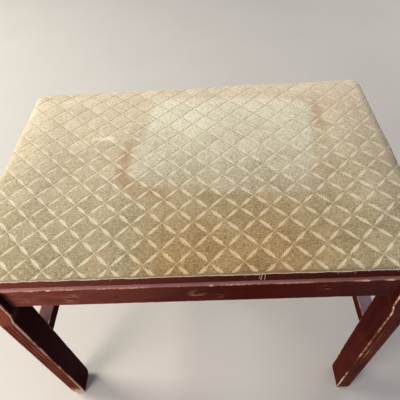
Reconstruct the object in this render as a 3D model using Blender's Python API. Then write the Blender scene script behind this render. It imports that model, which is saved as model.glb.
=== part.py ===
"""Upholstered bench: two flat-legged end frames joined by aprons, under a padded seat.

Metres, +Z up. X runs along the bench, -Y is its front and the floor is Z = 0.
"""

import math

import bmesh
import bpy
from mathutils import Vector

# End frames, each a front leg, a rear leg, a side rail and a stretcher in one plane
FRAME_HEIGHT = 0.395  # floor to the tops of the legs, rails and aprons
FRAME_DEPTH = 0.392  # front faces of the front legs to rear faces of the rear legs
END_SPACING = 0.5095  # between the middle planes of the two end frames
LEG_WIDTH = 0.0225  # shaft, along X
LEG_DEPTH = 0.041  # along Y
BLOCK_WIDTH = 0.0325  # plain block at the top of a leg, along X
BLOCK_HEIGHT = 0.045
SHOULDER_HEIGHT = 0.021  # slope between the block and the shaft
RAIL_THICKNESS = 0.0225
RAIL_HEIGHT = 0.040
STRETCHER_THICKNESS = 0.0219
STRETCHER_HEIGHT = 0.022
STRETCHER_TOP = 0.230  # above the floor

# V-flutes down the outward face of each leg shaft, each running out to a point at its top
FLUTE_COUNT = 3
FLUTE_PITCH = 0.0055
FLUTE_WIDTH = 0.0042
FLUTE_DEPTH = 0.0010
FLUTE_DROP = 0.002  # from the shoulder's foot down to the flutes' points
FLUTE_POINT_LENGTH = 0.012

# Aprons between the end frames
APRON_THICKNESS = 0.020
APRON_HEIGHT = 0.0395
APRON_SETBACK = 0.0107  # from the outward leg face in to the apron's face

# Corner blocks, notched round the legs
CORNER_REACH = 0.050  # along the apron and along the rail
CORNER_HEIGHT = 0.025

# Seat board
BOARD_THICKNESS = 0.022
BOARD_OVERHANG = 0.0058  # past the outer faces of the leg blocks
LEDGE_WIDTH = 0.0037  # of the apron's top, left bare in front of the board
BOARD_CORNER_RADIUS = 0.0153

# Padding, above the board
PADDING_EDGE_HEIGHT = 0.0096  # where the rounded edge reaches the top
PADDING_CROWN = 0.0045  # rise from there to the middle
SIDE_BULGE = 0.0023  # past the board's edge
BULGE_HEIGHT = 0.0035  # where the bulge is widest
EDGE_ROUND = 0.0138  # in from the board's edge to where the top starts

# Cloth cover, glued to the board's edge
COVER_THICKNESS = 0.0009
COVER_LAP = 0.0045  # down the board's edge, to the cloth's raw edge

# Dowels
DOWEL_DIAMETER = 0.008
DOWEL_DEPTH = 0.012  # into each of the two pieces
DOWEL_SPACING = 0.020  # between the two of one joint

# Wood screws
SCREW_HEAD_DIAMETER = 0.008
SCREW_HEAD_THICKNESS = 0.002
SCREW_SHANK_DIAMETER = 0.004
SCREW_TIP_LENGTH = 0.004
WALL_SCREW_GRIP = 0.009  # of corner block under a screw head, to the apron or rail
WALL_SCREW_BITE = 0.012  # into the apron or rail
WALL_SCREW_MARGIN = 0.018  # from the tip of the corner block, along the apron or rail
SEAT_SCREW_GRIP = 0.012  # of corner block under a seat screw's head
SEAT_SCREW_BITE = 0.010  # into the seat board
SEAT_SCREW_PLACE = 0.014  # from the corner, along both walls

# Clearances
FIT_GAP = 0.0003  # between faces that meet
END_GAP = 0.0005  # past the end of a dowel or screw in its hole

# Facets
ROUND_SIDES = 12
CORNER_STEPS = 5
LONG_SIDE_STEPS = 6
SHORT_SIDE_STEPS = 4
EDGE_STEPS = 4
SIDE_STEPS = 2
TOP_RINGS = (0.8, 0.55, 0.28)  # shares of the top's outline
SMOOTH_ANGLE = math.radians(35)

# Places that follow from the sizes, as distances from the bench's middle
end_x = END_SPACING / 2
block_inner_x = end_x - BLOCK_WIDTH / 2
block_outer_x = end_x + BLOCK_WIDTH / 2
rail_inner_x = end_x - RAIL_THICKNESS / 2
leg_front_y = FRAME_DEPTH / 2
leg_middle_y = leg_front_y - LEG_DEPTH / 2
leg_back_y = leg_front_y - LEG_DEPTH
apron_face_y = leg_front_y - APRON_SETBACK
apron_middle_y = apron_face_y - APRON_THICKNESS / 2
apron_back_y = apron_face_y - APRON_THICKNESS
block_bottom_z = FRAME_HEIGHT - BLOCK_HEIGHT
shaft_top_z = block_bottom_z - SHOULDER_HEIGHT
corner_bottom_z = FRAME_HEIGHT - CORNER_HEIGHT
board_half_x = block_outer_x + BOARD_OVERHANG
board_half_y = apron_face_y - LEDGE_WIDTH
board_bottom_z = FRAME_HEIGHT + FIT_GAP
board_top_z = board_bottom_z + BOARD_THICKNESS
raw_edge_z = board_top_z - COVER_LAP

SIDES = (("left", -1), ("right", 1))
DEPTHS = (("front", -1), ("rear", 1))


def clear_scene():
    """Remove what the scene holds."""
    for item in list(bpy.data.objects):
        bpy.data.objects.remove(item, do_unlink=True)


def make_material(name, colour, roughness, metallic=0.0):
    """A plain material of one colour."""
    made = bpy.data.materials.new(name)
    made.use_nodes = True
    shader = made.node_tree.nodes["Principled BSDF"]
    shader.inputs["Base Color"].default_value = (*colour, 1.0)
    shader.inputs["Roughness"].default_value = roughness
    shader.inputs["Metallic"].default_value = metallic
    return made


def skin(bm, lower, upper):
    """Faces between two closed rings; a ring of one vertex is a point."""
    count = max(len(lower), len(upper))
    for i in range(count):
        j = (i + 1) % count
        if len(lower) == 1:
            bm.faces.new((lower[0], upper[j], upper[i]))
        elif len(upper) == 1:
            bm.faces.new((lower[i], lower[j], upper[0]))
        else:
            bm.faces.new((lower[i], lower[j], upper[j], upper[i]))


def loft(bm, rings):
    """Skin a row of rings of points and return the rings of vertices."""
    made = [[bm.verts.new(point) for point in ring] for ring in rings]
    for lower, upper in zip(made, made[1:]):
        skin(bm, lower, upper)
    return made


def finish_mesh(bm, name, smooth=False):
    """Turn the faces outward and make the mesh."""
    bmesh.ops.recalc_face_normals(bm, faces=bm.faces)
    mesh = bpy.data.meshes.new(name)
    bm.to_mesh(mesh)
    bm.free()
    if smooth:
        mesh.shade_smooth()
        mesh.set_sharp_from_angle(angle=SMOOTH_ANGLE)
    return mesh


def solid_loft(rings, name, smooth=False):
    """Closed body through a row of rings, with flat ends."""
    bm = bmesh.new()
    made = loft(bm, rings)
    for end in (made[0], made[-1]):
        if len(end) > 1:
            bm.faces.new(end)
    return finish_mesh(bm, name, smooth)


def prism(outline, extrusion, name):
    """Straight body that carries an outline along a vector."""
    step = Vector(extrusion)
    return solid_loft([outline, [Vector(point) + step for point in outline]], name)


def box(size, name):
    """Block about its own middle."""
    x, y, z = (length / 2 for length in size)
    outline = [(-x, -y, -z), (x, -y, -z), (x, y, -z), (-x, y, -z)]
    return prism(outline, (0, 0, 2 * z), name)


def turned(profile, name):
    """Round body about Z through points of radius and height."""
    rings = []
    for radius, z in profile:
        if radius == 0:
            rings.append([(0, 0, z)])
            continue
        turns = [2 * math.pi * i / ROUND_SIDES for i in range(ROUND_SIDES)]
        rings.append([(radius * math.cos(a), radius * math.sin(a), z) for a in turns])
    return solid_loft(rings, name, smooth=True)


def rounded_outline(half_x, half_y, radius):
    """Points round a rectangle with round corners, anticlockwise from its right side."""
    radius = max(radius, FIT_GAP)
    corners = ((1, 1, 0), (-1, 1, 1), (-1, -1, 2), (1, -1, 3))
    points = []
    for sign_x, sign_y, quarter in corners:
        centre = (sign_x * (half_x - radius), sign_y * (half_y - radius))
        for step in range(CORNER_STEPS + 1):
            angle = math.pi / 2 * (quarter + step / CORNER_STEPS)
            points.append((centre[0] + radius * math.cos(angle), centre[1] + radius * math.sin(angle)))
        side_steps = LONG_SIDE_STEPS if quarter % 2 == 0 else SHORT_SIDE_STEPS
        start = points[-1]
        run = -2 * (half_x - radius) * sign_y if quarter % 2 == 0 else 2 * (half_y - radius) * sign_x
        for step in range(1, side_steps):
            part = run * step / side_steps
            points.append((start[0] + part, start[1]) if quarter % 2 == 0 else (start[0], start[1] + part))
    return points


def seat_ring(outset, z):
    """The seat's outline, this far outside the board's edge and at this height."""
    outline = rounded_outline(board_half_x + outset, board_half_y + outset, BOARD_CORNER_RADIUS + outset)
    return [(x, y, z) for x, y in outline]


def add_object(name, mesh, look, place=(0, 0, 0), turn=(0, 0, 0)):
    """Node of the bench, under the bench's empty."""
    node = bpy.data.objects.new(name, mesh)
    node.data.materials.append(look)
    node.location = place
    node.rotation_euler = turn
    node.parent = bench
    bpy.context.collection.objects.link(node)
    return node


def add_cutter(name, mesh, place=(0, 0, 0), turn=(0, 0, 0)):
    """Hidden shape that cuts holes."""
    cutter = bpy.data.objects.new(name, mesh)
    cutter.location = place
    cutter.rotation_euler = turn
    cutter.parent = bench
    cutter.hide_render = True
    cutter.display_type = "WIRE"
    bpy.context.collection.objects.link(cutter)
    return cutter


def cut(node, cutter):
    """Take a cutter's shape out of a node."""
    modifier = node.modifiers.new(cutter.name, "BOOLEAN")
    modifier.operation = "DIFFERENCE"
    modifier.solver = "EXACT"
    modifier.object = cutter


def leg_mesh():
    """Block, shoulders and shaft, standing on the floor under its own middle."""
    shaft = LEG_WIDTH / 2
    block = BLOCK_WIDTH / 2
    half = [(shaft, 0), (shaft, shaft_top_z), (block, block_bottom_z), (block, FRAME_HEIGHT)]
    outline = half + [(-x, z) for x, z in reversed(half)]
    front = [(x, -LEG_DEPTH / 2, z) for x, z in outline]
    return prism(front, (0, LEG_DEPTH, 0), "leg")


def flute_mesh(middle_x):
    """V-groove in a leg's outward face, past the foot below and up to its point."""
    margin = FLUTE_DEPTH
    face_y = -LEG_DEPTH / 2
    half_mouth = FLUTE_WIDTH / 2 * (FLUTE_DEPTH + margin) / FLUTE_DEPTH
    point_z = shaft_top_z - FLUTE_DROP
    rings = []
    for z in (-margin, point_z - FLUTE_POINT_LENGTH):
        left = (middle_x - half_mouth, face_y - margin, z)
        right = (middle_x + half_mouth, face_y - margin, z)
        rings.append([left, right, (middle_x, face_y + FLUTE_DEPTH, z)])
    rise = FLUTE_POINT_LENGTH * margin / FLUTE_DEPTH
    rings.append([(middle_x, face_y - margin, point_z + rise)])
    return solid_loft(rings, "flute")


def add_legs():
    """Four legs, the rear ones turned to face the other way."""
    mesh = leg_mesh()
    flutes = [flute_mesh((i - (FLUTE_COUNT - 1) / 2) * FLUTE_PITCH) for i in range(FLUTE_COUNT)]
    for depth_name, depth in DEPTHS:
        turn = (0, 0, 0 if depth < 0 else math.pi)
        for side_name, side in SIDES:
            name = f"leg_{depth_name}_{side_name}"
            place = (side * end_x, depth * leg_middle_y, 0)
            leg = add_object(name, mesh.copy(), mahogany, place, turn)
            for number, flute in enumerate(flutes, 1):
                cut(leg, add_cutter(f"cut_flute_{number}_{name}", flute, place, turn))
            nodes[name] = leg


def add_rails():
    """Aprons along the bench, and side rails and stretchers across it."""
    apron_size = (2 * (block_inner_x - FIT_GAP), APRON_THICKNESS, APRON_HEIGHT)
    cross_length = 2 * (leg_back_y - FIT_GAP)
    rail_size = (RAIL_THICKNESS, cross_length, RAIL_HEIGHT)
    stretcher_size = (STRETCHER_THICKNESS, cross_length, STRETCHER_HEIGHT)
    for depth_name, depth in DEPTHS:
        name = f"{depth_name}_apron"
        place = (0, depth * apron_middle_y, FRAME_HEIGHT - APRON_HEIGHT / 2)
        nodes[name] = add_object(name, box(apron_size, name), mahogany, place)
    for side_name, side in SIDES:
        name = f"{side_name}_side_rail"
        place = (side * end_x, 0, FRAME_HEIGHT - RAIL_HEIGHT / 2)
        nodes[name] = add_object(name, box(rail_size, name), mahogany, place)
        name = f"{side_name}_stretcher"
        place = (side * end_x, 0, STRETCHER_TOP - STRETCHER_HEIGHT / 2)
        nodes[name] = add_object(name, box(stretcher_size, name), mahogany, place)


def add_corner_blocks():
    """Triangular blocks against apron and rail, each notched where its leg stands past the apron."""
    wall_x = rail_inner_x - FIT_GAP
    wall_y = apron_back_y - FIT_GAP
    outline = [(wall_x, apron_back_y - CORNER_REACH), (rail_inner_x - CORNER_REACH, wall_y)]
    if apron_back_y > leg_back_y:
        notch_x = block_inner_x - FIT_GAP
        notch_y = leg_back_y - FIT_GAP
        outline += [(notch_x, wall_y), (notch_x, notch_y), (wall_x, notch_y)]
    else:
        outline += [(wall_x, wall_y)]
    for depth_name, depth in DEPTHS:
        for side_name, side in SIDES:
            name = f"corner_block_{depth_name}_{side_name}"
            points = [(side * x, depth * y, corner_bottom_z) for x, y in outline]
            mesh = prism(points, (0, 0, CORNER_HEIGHT), name)
            nodes[name] = add_object(name, mesh, pale_wood)


def add_board():
    """Seat board with round corners."""
    mesh = prism(seat_ring(0, board_bottom_z), (0, 0, BOARD_THICKNESS), "seat_board")
    nodes["seat_board"] = add_object("seat_board", mesh, stained_board)


def padding_rings(outset):
    """Rings of the padding's surface, this far outside it, from the board's top to the middle."""
    side = SIDE_BULGE + outset
    rings = []
    for step in range(SIDE_STEPS):
        rise = step / SIDE_STEPS
        bulge = SIDE_BULGE * math.sin(math.pi / 2 * rise)
        rings.append(seat_ring(bulge + outset, board_top_z + FIT_GAP + BULGE_HEIGHT * rise))
    reach = EDGE_ROUND + side
    lift = PADDING_EDGE_HEIGHT - BULGE_HEIGHT + outset
    for step in range(EDGE_STEPS + 1):
        angle = math.pi / 2 * step / EDGE_STEPS
        z = board_top_z + FIT_GAP + BULGE_HEIGHT + lift * math.sin(angle)
        rings.append(seat_ring(reach * math.cos(angle) - EDGE_ROUND, z))
    shoulder = rings[-1]
    for share in TOP_RINGS:
        crown = PADDING_CROWN * (1 - share * share)
        rings.append([(x * share, y * share, z + crown) for x, y, z in shoulder])
    rings.append([(0, 0, shoulder[0][2] + PADDING_CROWN)])
    return rings


def add_padding():
    """Padding with a bulging side, a rounded edge and a low crown."""
    mesh = solid_loft(padding_rings(0), "seat_padding", smooth=True)
    nodes["seat_padding"] = add_object("seat_padding", mesh, felt)


def add_cover():
    """Cloth over the padding and down the board's edge to a raw hem."""
    inside = FIT_GAP
    outside = FIT_GAP + COVER_THICKNESS
    bm = bmesh.new()
    outer = loft(bm, [seat_ring(outside, raw_edge_z)] + padding_rings(outside))
    inner = loft(bm, [seat_ring(inside, raw_edge_z)] + padding_rings(inside))
    skin(bm, outer[0], inner[0])
    mesh = finish_mesh(bm, "seat_cover", smooth=True)
    nodes["seat_cover"] = add_object("seat_cover", mesh, velour)


def add_dowel(name, place, turn, joined):
    """Dowel on a joint's face, with its hole in both pieces."""
    radius = DOWEL_DIAMETER / 2
    mesh = turned([(radius, -DOWEL_DEPTH), (radius, DOWEL_DEPTH)], name)
    nodes[name] = add_object(name, mesh, pale_wood, place, turn)
    hole_radius = radius + FIT_GAP
    hole_depth = DOWEL_DEPTH + END_GAP
    hole = turned([(hole_radius, -hole_depth), (hole_radius, hole_depth)], f"hole_{name}")
    cutter = add_cutter(f"cut_{name}", hole, place, turn)
    for piece in joined:
        cut(nodes[piece], cutter)


def add_dowels():
    """Two dowels at each end of an apron and a side rail, one at each end of a stretcher."""
    along_x = (0, math.pi / 2, 0)
    along_y = (math.pi / 2, 0, 0)
    apron_z = FRAME_HEIGHT - APRON_HEIGHT / 2
    rail_z = FRAME_HEIGHT - RAIL_HEIGHT / 2
    stretcher_z = STRETCHER_TOP - STRETCHER_HEIGHT / 2
    pair = (("lower", -DOWEL_SPACING / 2), ("upper", DOWEL_SPACING / 2))
    for depth_name, depth in DEPTHS:
        for side_name, side in SIDES:
            leg = f"leg_{depth_name}_{side_name}"
            corner = f"{depth_name}_{side_name}"
            apron_joint = (side * block_inner_x, depth * apron_middle_y)
            end_joint = (side * end_x, depth * leg_back_y)
            for level, offset in pair:
                place = (*apron_joint, apron_z + offset)
                add_dowel(f"dowel_apron_{corner}_{level}", place, along_x, (leg, f"{depth_name}_apron"))
                place = (*end_joint, rail_z + offset)
                add_dowel(f"dowel_rail_{corner}_{level}", place, along_y, (leg, f"{side_name}_side_rail"))
            place = (*end_joint, stretcher_z)
            add_dowel(f"dowel_stretcher_{corner}", place, along_y, (leg, f"{side_name}_stretcher"))


def add_screw(name, place, turn, length, pocket, joined):
    """Screw whose head sits on its place, pointing along its own +Z, with its hole in both pieces."""
    head = SCREW_HEAD_DIAMETER / 2
    shank = SCREW_SHANK_DIAMETER / 2
    tip = length - SCREW_TIP_LENGTH
    profile = [(head, -SCREW_HEAD_THICKNESS), (head, 0), (shank, 0), (shank, tip), (0, length)]
    nodes[name] = add_object(name, turned(profile, name), steel, place, turn)
    wide = head + FIT_GAP
    narrow = shank + FIT_GAP
    hole = turned(
        [(wide, -pocket), (wide, FIT_GAP), (narrow, FIT_GAP), (narrow, length + END_GAP)],
        f"hole_{name}",
    )
    cutter = add_cutter(f"cut_{name}", hole, place, turn)
    for piece in joined:
        cut(nodes[piece], cutter)


def add_screws():
    """Two screws from each corner block into its walls, and one up into the seat board."""
    middle_z = FRAME_HEIGHT - CORNER_HEIGHT / 2
    wall_length = WALL_SCREW_GRIP + WALL_SCREW_BITE
    seat_length = SEAT_SCREW_GRIP + SEAT_SCREW_BITE
    from_corner = CORNER_REACH - WALL_SCREW_MARGIN
    for depth_name, depth in DEPTHS:
        toward_apron = (-depth * math.pi / 2, 0, 0)
        apron_screw_y = depth * (apron_back_y - WALL_SCREW_GRIP)
        rail_screw_y = depth * (apron_back_y - from_corner)
        seat_screw_y = depth * (apron_back_y - SEAT_SCREW_PLACE)
        for side_name, side in SIDES:
            toward_rail = (0, side * math.pi / 2, 0)
            corner = f"{depth_name}_{side_name}"
            block = f"corner_block_{corner}"
            place = (side * (rail_inner_x - from_corner), apron_screw_y, middle_z)
            joined = (block, f"{depth_name}_apron")
            add_screw(f"screw_apron_{corner}", place, toward_apron, wall_length, CORNER_REACH, joined)
            place = (side * (rail_inner_x - WALL_SCREW_GRIP), rail_screw_y, middle_z)
            joined = (block, f"{side_name}_side_rail")
            add_screw(f"screw_rail_{corner}", place, toward_rail, wall_length, CORNER_REACH, joined)
            place = (side * (rail_inner_x - SEAT_SCREW_PLACE), seat_screw_y, FRAME_HEIGHT - SEAT_SCREW_GRIP)
            joined = (block, "seat_board")
            add_screw(f"screw_seat_{corner}", place, (0, 0, 0), seat_length, CORNER_HEIGHT, joined)


clear_scene()
mahogany = make_material("mahogany", (0.115, 0.026, 0.018), 0.42)
stained_board = make_material("stained_board", (0.060, 0.018, 0.013), 0.55)
pale_wood = make_material("pale_wood", (0.47, 0.31, 0.17), 0.65)
felt = make_material("felt", (0.60, 0.55, 0.44), 0.95)
velour = make_material("velour", (0.52, 0.43, 0.23), 0.90)
steel = make_material("steel", (0.52, 0.52, 0.53), 0.35, 1.0)

bench = bpy.data.objects.new("bench", None)
bpy.context.collection.objects.link(bench)
nodes = {}
add_legs()
add_rails()
add_corner_blocks()
add_board()
add_padding()
add_cover()
add_dowels()
add_screws()
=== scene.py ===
"""Upholstered bench: a worn mahogany frame with fluted legs under a thin padded velour seat.

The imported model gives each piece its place. The wood that shows is rebuilt here with worn arrises,
and one draped cloth form stands for the padding and its cover.
"""
import math

import bmesh
import bpy
import numpy as np
from mathutils import Matrix, Vector, noise
from mathutils.bvhtree import BVHTree


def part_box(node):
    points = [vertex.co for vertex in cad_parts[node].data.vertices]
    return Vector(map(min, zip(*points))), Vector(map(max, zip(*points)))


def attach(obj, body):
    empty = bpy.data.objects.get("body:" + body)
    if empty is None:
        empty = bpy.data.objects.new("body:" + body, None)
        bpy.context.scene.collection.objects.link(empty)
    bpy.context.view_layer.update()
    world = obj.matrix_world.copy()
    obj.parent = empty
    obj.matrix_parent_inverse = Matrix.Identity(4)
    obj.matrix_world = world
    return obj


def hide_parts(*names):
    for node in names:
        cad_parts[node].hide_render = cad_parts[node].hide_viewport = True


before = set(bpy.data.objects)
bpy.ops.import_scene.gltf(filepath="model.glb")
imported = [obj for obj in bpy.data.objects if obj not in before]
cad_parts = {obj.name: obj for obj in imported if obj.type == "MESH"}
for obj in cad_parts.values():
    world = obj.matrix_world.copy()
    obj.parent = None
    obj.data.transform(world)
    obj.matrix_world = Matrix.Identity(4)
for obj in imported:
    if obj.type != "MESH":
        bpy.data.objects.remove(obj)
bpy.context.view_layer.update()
scene = bpy.context.scene
scene.view_settings.view_transform = "Standard"

MM = 0.001

# Sizes that the solids share with this script, in metres
LEG_WIDTH = 22.5 * MM
BLOCK_HEIGHT = 45 * MM
SHOULDER_HEIGHT = 21 * MM
FLUTE_COUNT = 3
FLUTE_PITCH = 5.5 * MM
FLUTE_WIDTH = 4.2 * MM
FLUTE_DEPTH = 1.0 * MM
FLUTE_DROP = 2 * MM
FLUTE_POINT_LENGTH = 12 * MM
BOARD_CORNER_RADIUS = 15.3 * MM
PADDING_GAP = 0.3 * MM
EDGE_ROUND = 13.8 * MM
SIDE_BULGE = 2.3 * MM
BULGE_HEIGHT = 3.5 * MM
PADDING_CROWN = 4.5 * MM
CLOTH_STAND = 1.2 * MM

# The woven lattice's two directions: a repeat along the bench, one across it, and where the lines fall
LATTICE_LINES = ((39.2 * MM, 38.2 * MM, 0.12), (38.0 * MM, -38.2 * MM, -0.03))
LATTICE_REPEAT = 1 / math.hypot(1 / LATTICE_LINES[0][0], 1 / LATTICE_LINES[0][1])
SPINDLE_HALF_WIDTHS = (2.4 * MM, 2.15 * MM)
SPINDLE_START = 0.06
SPINDLE_FULL = 0.38
SPINDLE_DEPTH = 0.22 * MM
CREASE_DEPTH = 0.32 * MM
PUFF_HEIGHT = 0.12 * MM

# Sitting has pressed the lattice flat: at the seat's middle, and more per metre along and across
PRESSED = (0.47, (2.2, -4.0))

# Points of the seat's surface along and across it, and of the coarser form that is pressed out
SEAT_GRID = (400, 268)
FORM_GRID = (110, 74)
FORM_VOXEL = 5 * MM
FORM_SHRINK = 1.2 * MM
PRESS_FRAMES = 20
SWELL_LIMIT = 1.0 * MM
SWELL_BLUR_ROUNDS = 400
RAW_EDGE_TURN = 1.4 * MM
RAW_EDGE_WAVER = 1.5 * MM

# Marks of use on the seat: places along and across it from its middle, in metres, then radius and strength
PATCH_CORNERS = [(-0.064, 0.152), (-0.094, -0.030), (-0.074, -0.056), (0.128, -0.084), (0.152, -0.078),
                 (0.170, 0.000), (0.183, 0.118), (0.150, 0.132)]
TIDE_SPOTS = [((-0.108, 0.004, 0), 0.052, 0.72), ((-0.106, -0.026, 0), 0.042, 0.66),
              ((-0.092, -0.050, 0), 0.040, 0.62), ((-0.055, -0.066, 0), 0.036, 0.6),
              ((0.192, 0.090, 0), 0.060, 0.5)]
PINK_SPOTS = [((0.222, 0.108, 0), 0.050, 0.3), ((-0.110, -0.165, 0), 0.030, 0.2),
              ((0.100, -0.175, 0), 0.030, 0.15)]
RUB_PLACE = (-0.141, 0.049, 0.0)
RUB_SIZE = (28 * MM, 9 * MM, 1.0)

# Scratched places on the front apron, in metres, with radius and strength
SCRATCH_SPOTS = [((-0.158, -0.185, 0.370), 0.015, 1.0), ((-0.149, -0.185, 0.380), 0.010, 1.0),
                 ((-0.215, -0.185, 0.368), 0.010, 0.5), ((0.000, -0.185, 0.376), 0.014, 0.95),
                 ((0.027, -0.185, 0.368), 0.007, 0.9), ((0.153, -0.185, 0.381), 0.010, 0.7)]

# Chips on the front apron's upper arris: place along it and half length, in metres
CHIPS = [(-0.200, 5 * MM), (-0.178, 3 * MM), (-0.150, 6 * MM), (0.018, 5 * MM), (0.195, 12 * MM),
         (0.225, 8 * MM)]

# Wear of each leg: how far its foot's outer corner and its heel, the edge under the bench, are worn round,
# how rubbed its toe and its inner arris are, from 0 to about 1, and how far the arris's wear reaches
LEG_WEAR = {"leg_front_left": (9 * MM, 15 * MM, 0.85, 0.88, 0.8 * MM),
            "leg_front_right": (8 * MM, 3 * MM, 0.3, 0.72, 0.7 * MM),
            "leg_rear_left": (6 * MM, 4 * MM, 0.5, 0.8, 0.8 * MM),
            "leg_rear_right": (5 * MM, 4 * MM, 0.4, 0.7, 0.7 * MM)}
OTHER_ARRIS_WEAR = (0.6, 0.7 * MM)
# Pale wear along the flutes' ridges, stronger on the right legs, where it also stands for a painted
# highlight
RIDGE_WEAR_AND_HIGHLIGHT_LEFT = 0.65
RIDGE_WEAR_AND_HIGHLIGHT_RIGHT = 0.9
RIDGE_REACH = 0.7 * MM
TOE_HEIGHT = 70 * MM

# How the wood's edges are eased, and how far wear reaches from a bar's arris
LEG_ARRIS = 1.2 * MM
TOP_EASE = 1.6 * MM
FOOT_EASE = 1.5 * MM
EASE_DEPTH = 1.3 * MM
BAR_ARRIS = 1.1 * MM
BAR_WEAR_REACH = 1.4 * MM
DENT_DEPTH = 0.45 * MM


# Small helpers

def linear(hex_colour):
    """A linear RGBA colour from an sRGB hex value."""
    parts = [int(hex_colour[i:i + 2], 16) / 255 for i in (1, 3, 5)]
    return [p / 12.92 if p <= 0.04045 else ((p + 0.055) / 1.055) ** 2.4 for p in parts] + [1.0]


def node_adder(tree, prefix="ShaderNode"):
    """The function that adds a node to this tree, with its settings, and sets or links its inputs.

    Inputs come as one dictionary by name, or in order, among those in use. A node stands for its first
    output in use, and a hex value for its linear colour.
    """
    def add(kind, *inputs, **settings):
        node = tree.nodes.new(prefix + kind)
        for name, value in settings.items():
            setattr(node, name, value)
        named = inputs and isinstance(inputs[0], dict)
        for key, value in (inputs[0] if named else dict(enumerate(inputs))).items():
            used = [socket for socket in node.inputs if socket.enabled]
            socket = used[key] if isinstance(key, int) else next(s for s in used if s.name == key)
            if isinstance(value, bpy.types.Node):
                value = next(s for s in value.outputs if s.enabled)
            if isinstance(value, bpy.types.NodeSocket):
                tree.links.new(value, socket)
            else:
                socket.default_value = linear(value) if isinstance(value, str) else value
        return node

    return add


def new_finish(name):
    """A material with an empty node tree, and the function that adds nodes to it."""
    finish = bpy.data.materials.new(name)
    finish.use_nodes = True
    finish.node_tree.nodes.clear()
    return finish, node_adder(finish.node_tree)


def surfaced(finish, add, inputs):
    """The material, closed with a shader that has these inputs."""
    shader = add("BsdfPrincipled", inputs)
    add("OutputMaterial", {"Surface": shader})
    return finish


def clamp(value, low, high):
    """The value, kept between low and high."""
    return max(low, min(high, value))


def smooth(value, low, high):
    """0 below low, 1 above high, eased between."""
    part = clamp((value - low) / (high - low), 0.0, 1.0)
    return part * part * (3 - 2 * part)


def new_object(name, data):
    """An object in the scene, at the origin."""
    thing = bpy.data.objects.new(name, data)
    scene.collection.objects.link(thing)
    return thing


def new_piece(name, mesh, finish):
    """A mesh in the scene, with its material."""
    mesh.materials.append(finish)
    return new_object(name, mesh)


# What several materials share

def layered(add, colour, *layers):
    """A colour with others laid over it in turn, each (share, colour)."""
    for share, over in layers:
        colour = add("Mix", {"Factor": share, "A": colour, "B": over}, data_type="RGBA")
    return colour


def stretched_noise(add, place, sizes, look, start=(0.0, 0.0, 0.0), turn=(0.0, 0.0, 0.0)):
    """Noise with patches of these sizes, in metres along the three axes."""
    scale = [1 / size for size in sizes]
    stretched = add("Mapping", {"Vector": place, "Location": start, "Rotation": turn, "Scale": scale})
    return add("TexNoise", {"Vector": stretched, "Scale": 1.0, **look})


def grain_sizes(axis, width, length):
    """Sizes along the three axes of a mark that is long along the grain."""
    return [length if i == axis else width for i in range(3)]


def near_spots(add, place, spots, waver):
    """The strongest of several soft round spots, each (place, radius, strength), with wavering rims."""
    strongest = None
    for spot_place, radius, strength in spots:
        apart = add("VectorMath", place, spot_place, operation="DISTANCE")
        apart = add("Math", waver, 0.6 * radius, apart, operation="MULTIPLY_ADD")
        spot = add("MapRange", {"Value": apart, "From Min": 0.3 * radius, "From Max": 1.3 * radius,
                                "To Min": strength, "To Max": 0.0}, interpolation_type="SMOOTHSTEP")
        if strongest is not None:
            spot = add("Math", strongest, spot, operation="MAXIMUM")
        strongest = spot
    return strongest


def bleach_and_painted_light(add, facing, along):
    """Sun bleaching and painted light: faces towards the front and the left end are lighter, most at the
    left.
    """
    facing_light = add("VectorMath", facing, (-0.5, -0.87, 0.0), operation="DOT_PRODUCT")
    facing_light = add("MapRange", {"Value": facing_light, "From Min": 0.3, "From Max": 0.8})
    leftward = add("MapRange", {"Value": along, "From Min": 0.06, "From Max": -0.27, "To Max": 0.6})
    return add("Math", facing_light, leftward, operation="MULTIPLY")


# Materials of the wood and the steel

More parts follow.
